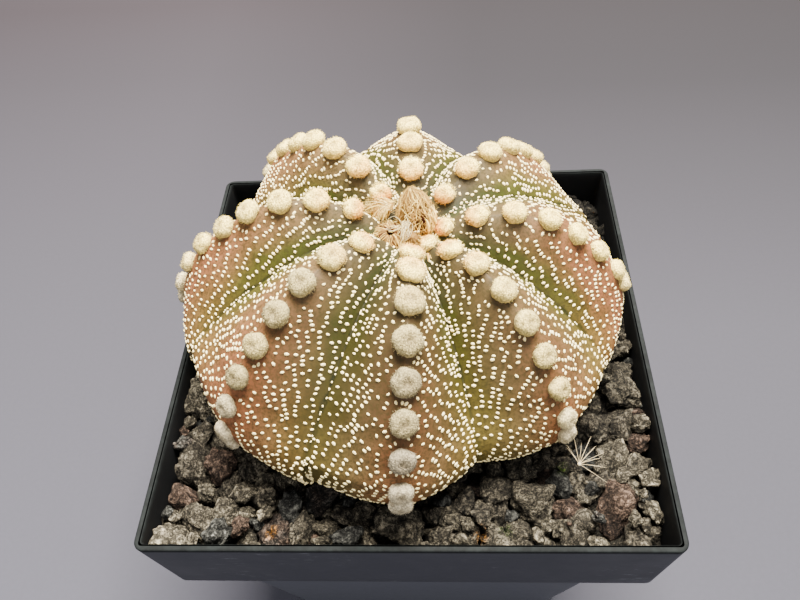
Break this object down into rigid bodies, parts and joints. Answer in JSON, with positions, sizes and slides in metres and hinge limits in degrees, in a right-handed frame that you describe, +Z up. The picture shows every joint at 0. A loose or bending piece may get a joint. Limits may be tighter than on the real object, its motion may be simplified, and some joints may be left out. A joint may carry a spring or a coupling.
{
  "type": "potted star cactus",
  "caption": "Low ribbed globe cactus with woolly buttons and white flecks, in a square pot of lava gravel.",
  "frame": {"origin": "centre of the pot's base, on the surface that it stands on", "axes": "+Z up, -Y towards the front of the picture, +X to its right"},
  "size_m": [0.09, 0.09, 0.1052],
  "materials": {
    "pot_plastic": "satin black moulded plastic, scuffed and worn grey on the lip",
    "lava_stone": "rough porous crushed lava, grey-brown with maroon and blue-grey stones",
    "cactus_skin": "waxy tan, salmon and olive skin with white felt flecks and cream woolly areoles",
    "withered_petal": "dry brown hairy flower remains",
    "plant_wool": "pale matted wool",
    "dry_spine": "bleached dry spine"
  },
  "bodies": {
    "root": {"pot": "pot_plastic", "lava_gravel": "lava_stone", "cactus": "cactus_skin", "dried_flower_tall": "withered_petal", "dried_flower_low": "withered_petal", "wool_tuft": "plant_wool", "fallen_spines": "dry_spine"}
  },
  "joints": []
}
